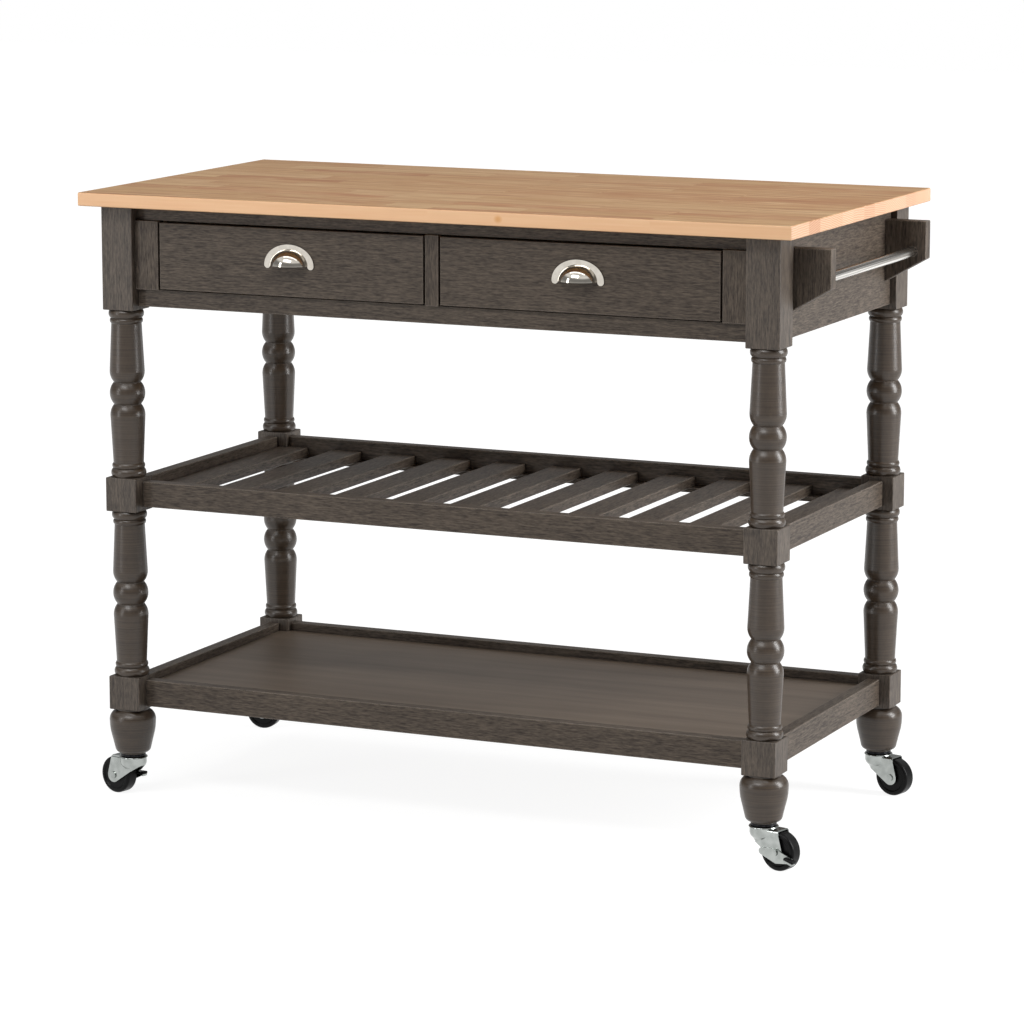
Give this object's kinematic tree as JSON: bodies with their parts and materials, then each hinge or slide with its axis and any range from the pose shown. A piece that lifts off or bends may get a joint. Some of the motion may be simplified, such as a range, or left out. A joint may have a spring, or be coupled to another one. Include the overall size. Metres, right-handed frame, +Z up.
{
  "type": "kitchen cart",
  "caption": "Kitchen cart with butcher block top on turned legs, side-by-side drawers, slatted shelf, solid base shelf, towel bar at one end and swivel casters.",
  "frame": {"origin": "the middle of the ground that the whole cart covers, at floor level", "axes": "+X to the cart's right, towards the towel bar; +Y to its back, away from the drawers' pulls; +Z up"},
  "size_m": [1.1538, 0.584, 0.914],
  "materials": {
    "butcher_block": "satin oiled, staves of mixed tan, cream and reddish brown",
    "stained_wood": "wire-brushed dark grey-brown stain, low sheen",
    "plain_wood": "sanded, clear coat",
    "bright_nickel": "polished",
    "zinc": "bright zinc plate",
    "screw_steel": "plated",
    "black_steel": "satin black",
    "black_wheel": "smooth hard rubber"
  },
  "bodies": {
    "cart": {"worktop": "butcher_block", "end_stiles": "stained_wood", "centre_stile": "stained_wood", "drawer_runners": "plain_wood", "drawer_kickers": "plain_wood", "corner_blocks": "plain_wood", "top_screws": "screw_steel", "towel_bracket_front": "stained_wood", "towel_bracket_back": "stained_wood", "towel_rod": "bright_nickel", "shelf_slats": "stained_wood", "base_panel": "stained_wood", "shelf_ledges": "stained_wood", "front_top_rail": "stained_wood", "front_bottom_rail": "stained_wood", "back_apron": "stained_wood", "left_apron": "stained_wood", "right_apron": "stained_wood", "shelf_front_rail": "stained_wood", "shelf_back_rail": "stained_wood", "shelf_left_rail": "stained_wood", "shelf_right_rail": "stained_wood", "base_front_rail": "stained_wood", "base_back_rail": "stained_wood", "base_left_rail": "stained_wood", "base_right_rail": "stained_wood", "leg_front_left": "stained_wood", "leg_front_right": "stained_wood", "leg_back_left": "stained_wood", "leg_back_right": "stained_wood", "caster_stem_front_left": "black_steel", "caster_stem_front_right": "black_steel", "caster_stem_back_left": "black_steel", "caster_stem_back_right": "black_steel"},
    "left_drawer": {"left_drawer_front": "stained_wood", "left_drawer_sides": "plain_wood", "left_drawer_back": "plain_wood", "left_drawer_bottom": "plain_wood", "left_drawer_pull_screws": "screw_steel", "left_drawer_pull": "bright_nickel"},
    "right_drawer": {"right_drawer_front": "stained_wood", "right_drawer_sides": "plain_wood", "right_drawer_back": "plain_wood", "right_drawer_bottom": "plain_wood", "right_drawer_pull_screws": "screw_steel", "right_drawer_pull": "bright_nickel"},
    "caster_front_left": {"caster_yoke_front_left": "zinc", "caster_axle_front_left": "zinc"},
    "wheel_front_left": {"caster_wheel_front_left": "black_wheel"},
    "caster_front_right": {"caster_yoke_front_right": "zinc", "caster_axle_front_right": "zinc"},
    "wheel_front_right": {"caster_wheel_front_right": "black_wheel"},
    "caster_back_left": {"caster_yoke_back_left": "zinc", "caster_axle_back_left": "zinc"},
    "wheel_back_left": {"caster_wheel_back_left": "black_wheel"},
    "caster_back_right": {"caster_yoke_back_right": "zinc", "caster_axle_back_right": "zinc"},
    "wheel_back_right": {"caster_wheel_back_right": "black_wheel"},
    "brake_front_left": {"brake_lever_front_left": "zinc"},
    "brake_front_right": {"brake_lever_front_right": "zinc"}
  },
  "joints": [
    {"name": "left_drawer_slide", "type": "slide", "parent": "cart", "child": "left_drawer", "axis": [0, -1, 0], "range_m": [0, 0.3]},
    {"name": "right_drawer_slide", "type": "slide", "parent": "cart", "child": "right_drawer", "axis": [0, -1, 0], "range_m": [0, 0.3]},
    {"name": "swivel_front_left", "type": "hinge", "parent": "cart", "child": "caster_front_left", "pos_m": [-0.51857, -0.2415, 0.0607], "axis": [0, 0, 1], "continuous": true},
    {"name": "wheel_spin_front_left", "type": "hinge", "parent": "caster_front_left", "child": "wheel_front_left", "pos_m": [-0.54768, -0.23424, 0.028], "axis": [-0.2419, -0.9703, 0], "continuous": true},
    {"name": "brake_press_front_left", "type": "hinge", "parent": "caster_front_left", "child": "brake_front_left", "pos_m": [-0.54768, -0.23424, 0.028], "axis": [0.2419, 0.9703, 0], "range_deg": [0, 18]},
    {"name": "swivel_front_right", "type": "hinge", "parent": "cart", "child": "caster_front_right", "pos_m": [0.49843, -0.2415, 0.0607], "axis": [0, 0, 1], "continuous": true},
    {"name": "wheel_spin_front_right", "type": "hinge", "parent": "caster_front_right", "child": "wheel_front_right", "pos_m": [0.52741, -0.24926, 0.028], "axis": [0.2588, 0.9659, 0], "continuous": true},
    {"name": "brake_press_front_right", "type": "hinge", "parent": "caster_front_right", "child": "brake_front_right", "pos_m": [0.52741, -0.24926, 0.028], "axis": [0.2588, 0.9659, 0], "range_deg": [-18, 0]},
    {"name": "swivel_back_left", "type": "hinge", "parent": "cart", "child": "caster_back_left", "pos_m": [-0.51857, 0.2415, 0.0607], "axis": [0, 0, 1], "continuous": true},
    {"name": "wheel_spin_back_left", "type": "hinge", "parent": "caster_back_left", "child": "wheel_back_left", "pos_m": [-0.54846, 0.23888, 0.028], "axis": [0.0872, -0.9962, 0], "continuous": true},
    {"name": "swivel_back_right", "type": "hinge", "parent": "cart", "child": "caster_back_right", "pos_m": [0.49843, 0.2415, 0.0607], "axis": [0, 0, 1], "continuous": true},
    {"name": "wheel_spin_back_right", "type": "hinge", "parent": "caster_back_right", "child": "wheel_back_right", "pos_m": [0.52741, 0.23373, 0.028], "axis": [0.2588, 0.9659, 0], "continuous": true}
  ]
}
